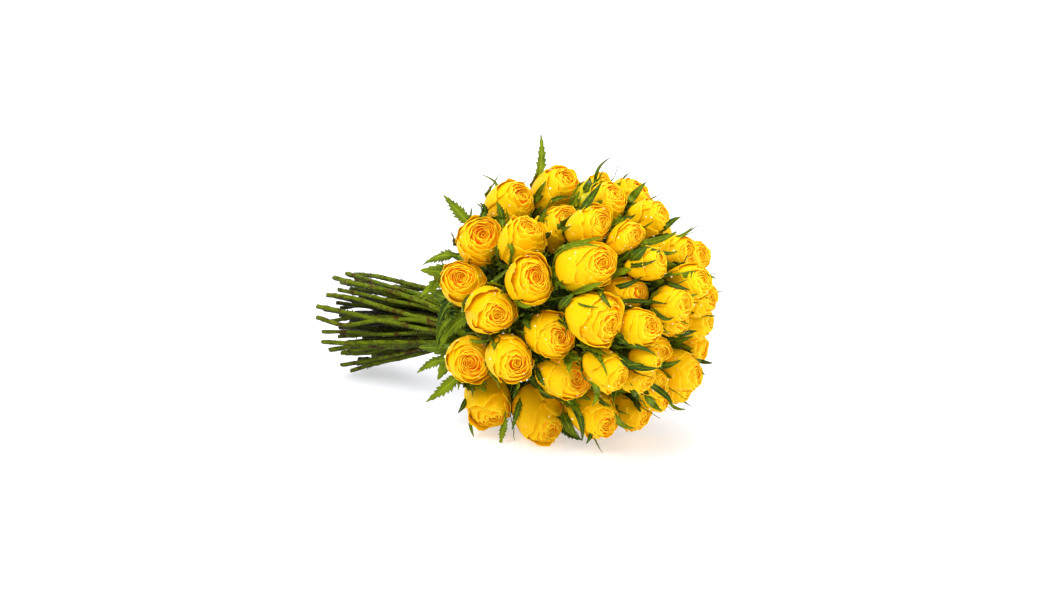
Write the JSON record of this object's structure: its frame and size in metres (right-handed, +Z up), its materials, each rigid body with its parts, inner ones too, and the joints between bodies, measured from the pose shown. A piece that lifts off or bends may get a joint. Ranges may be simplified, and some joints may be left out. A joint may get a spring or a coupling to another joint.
{
  "type": "bunch of roses",
  "caption": "Tied bunch of yellow roses lying on its side: a rounded head of half-open blooms with toothed leaves, and bare green stems that spread to their cut ends.",
  "frame": {"origin": "on the surface the bunch lies on, under the middle of its box", "axes": "+X from the cut ends of the stems to the blooms, +Z up"},
  "size_m": [0.5293, 0.2721, 0.2945],
  "materials": {
    "petal_yellow": "soft, slightly waxy petals, wet in places",
    "stem_green": "matt green stems, leaves and sepals",
    "tie_tan": "plain twine"
  },
  "bodies": {
    "root": {"bloom_01": "petal_yellow", "bloom_02": "petal_yellow", "bloom_03": "petal_yellow", "bloom_04": "petal_yellow", "bloom_05": "petal_yellow", "bloom_06": "petal_yellow", "bloom_07": "petal_yellow", "bloom_08": "petal_yellow", "bloom_09": "petal_yellow", "bloom_10": "petal_yellow", "bloom_11": "petal_yellow", "bloom_12": "petal_yellow", "bloom_13": "petal_yellow", "bloom_14": "petal_yellow", "bloom_15": "petal_yellow", "bloom_16": "petal_yellow", "bloom_17": "petal_yellow", "bloom_18": "petal_yellow", "bloom_19": "petal_yellow", "bloom_20": "petal_yellow", "bloom_21": "petal_yellow", "bloom_22": "petal_yellow", "bloom_23": "petal_yellow", "bloom_24": "petal_yellow", "bloom_25": "petal_yellow", "bloom_26": "petal_yellow", "bloom_27": "petal_yellow", "bloom_28": "petal_yellow", "bloom_29": "petal_yellow", "bloom_30": "petal_yellow", "bloom_31": "petal_yellow", "bloom_32": "petal_yellow", "bloom_33": "petal_yellow", "bloom_34": "petal_yellow", "bloom_35": "petal_yellow", "bloom_36": "petal_yellow", "bloom_37": "petal_yellow", "bloom_38": "petal_yellow", "bloom_39": "petal_yellow", "bloom_40": "petal_yellow", "bloom_41": "petal_yellow", "bloom_42": "petal_yellow", "bloom_43": "petal_yellow", "bloom_44": "petal_yellow", "bloom_45": "petal_yellow", "bloom_46": "petal_yellow", "bloom_47": "petal_yellow", "bloom_48": "petal_yellow", "bloom_49": "petal_yellow", "bloom_50": "petal_yellow", "bloom_51": "petal_yellow", "bloom_52": "petal_yellow", "bloom_53": "petal_yellow", "bloom_54": "petal_yellow", "bloom_55": "petal_yellow", "bloom_56": "petal_yellow", "stems": "stem_green", "tie": "tie_tan"}
  },
  "joints": []
}
